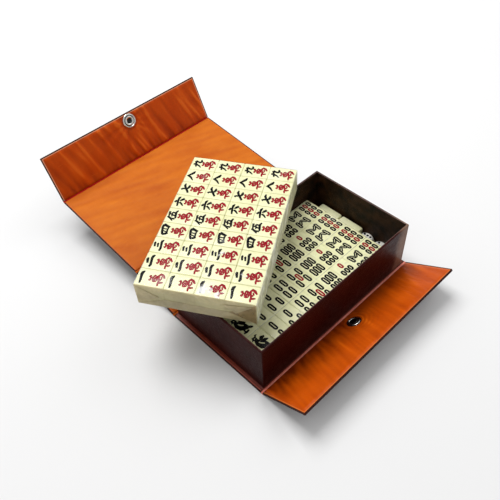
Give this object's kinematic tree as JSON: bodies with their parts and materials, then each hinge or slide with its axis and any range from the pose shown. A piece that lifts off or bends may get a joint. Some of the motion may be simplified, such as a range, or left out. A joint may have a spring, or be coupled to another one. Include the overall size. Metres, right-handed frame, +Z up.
{
  "type": "mahjong case",
  "caption": "Folding wrap-cover case with a rigid tray that stores film-wrapped mahjong tile blocks, spare tiles and dice, closed by a flap with a magnetic snap.",
  "frame": {"origin": "centre of the underside of the base panel, under the middle of the tray", "axes": "+X along the tray's long side, +Y from the front flap to the spine and lid, +Z up"},
  "size_m": [0.2725, 0.4184, 0.0951],
  "materials": {
    "grey_board": "matt pressed greyboard",
    "cover_skin": "glossy embossed dark brown leatherette",
    "cover_lining": "satin orange PVC sheet, fine grain",
    "flap_lining": "glossy orange PVC sheet, puckered",
    "tray_leatherette": "glossy maroon-brown leatherette",
    "tray_lining": "near-black brown mottled liner",
    "tile_cream": "polished cream melamine, carved and painted faces",
    "die_white": "polished white with black pips",
    "film": "clear glossy shrink film with folds",
    "snap_steel": "bright plated steel",
    "snap_black": "dark magnet and blackened washer"
  },
  "bodies": {
    "case": {"base_board": "grey_board", "base_skin": "cover_skin", "base_lining": "cover_lining", "front_crease": "cover_skin", "spine_crease": "cover_skin", "tray_floor_board": "grey_board", "tray_front_board": "grey_board", "tray_back_board": "grey_board", "tray_left_board": "grey_board", "tray_right_board": "grey_board", "tray_covering": "tray_leatherette", "tray_lining": "tray_lining"},
    "front_flap": {"front_flap_board": "grey_board", "front_flap_skin": "cover_skin", "front_flap_lining": "flap_lining", "snap_stud": "snap_steel", "snap_stud_washer": "snap_black", "snap_stud_rivet": "snap_steel"},
    "spine": {"spine_board": "grey_board", "spine_skin": "cover_skin", "spine_lining": "cover_lining", "lid_crease": "cover_skin"},
    "lid": {"lid_board": "grey_board", "lid_skin": "cover_skin", "lid_lining": "cover_lining", "closing_crease": "cover_skin"},
    "closing_flap": {"closing_flap_board": "grey_board", "closing_flap_skin": "cover_skin", "closing_flap_lining": "flap_lining", "snap_socket_case": "snap_steel", "snap_magnet": "snap_black", "snap_socket_rivet": "snap_steel"},
    "upper_block": {"upper_film": "film", "character_tiles": "tile_cream", "dot_tiles": "tile_cream"},
    "lower_block": {"lower_film": "film", "bamboo_tiles": "tile_cream", "wind_tiles": "tile_cream", "dragon_tiles": "tile_cream", "flower_tiles": "tile_cream"},
    "spare_tile_1": {"spare_tile_1": "tile_cream"},
    "spare_tile_2": {"spare_tile_2": "tile_cream"},
    "die_1": {"die_1": "die_white"},
    "die_2": {"die_2": "die_white"}
  },
  "joints": [
    {"name": "front_flap_hinge", "type": "hinge", "parent": "case", "child": "front_flap", "pos_m": [0, -0.06815, 0.0012], "axis": [-1, 0, 0], "range_deg": [-22, 60]},
    {"name": "spine_hinge", "type": "hinge", "parent": "case", "child": "spine", "pos_m": [0, 0.06815, 0.0012], "axis": [1, 0, 0], "range_deg": [-7, 10]},
    {"name": "lid_hinge", "type": "hinge", "parent": "spine", "child": "lid", "pos_m": [0, 0.12961, 0.02357], "axis": [1, 0, 0], "range_deg": [-4, 16]},
    {"name": "closing_flap_hinge", "type": "hinge", "parent": "lid", "child": "closing_flap", "pos_m": [0, 0.26936, 0.04073], "axis": [1, 0, 0], "range_deg": [-59, 31]},
    {"name": "upper_block_lift", "type": "slide", "parent": "case", "child": "upper_block", "axis": [0, 0, 1], "range_m": [0, 0.12]},
    {"name": "lower_block_lift", "type": "slide", "parent": "case", "child": "lower_block", "axis": [0, 0, 1], "range_m": [0, 0.03]},
    {"name": "spare_tile_1_lift", "type": "slide", "parent": "case", "child": "spare_tile_1", "axis": [0, 0, 1], "range_m": [0, 0.06]},
    {"name": "spare_tile_2_lift", "type": "slide", "parent": "case", "child": "spare_tile_2", "axis": [0, 0, 1], "range_m": [0, 0.06]},
    {"name": "die_1_lift", "type": "slide", "parent": "case", "child": "die_1", "axis": [0, 0, 1], "range_m": [0, 0.06]},
    {"name": "die_2_lift", "type": "slide", "parent": "case", "child": "die_2", "axis": [0, 0, 1], "range_m": [0, 0.06]}
  ]
}
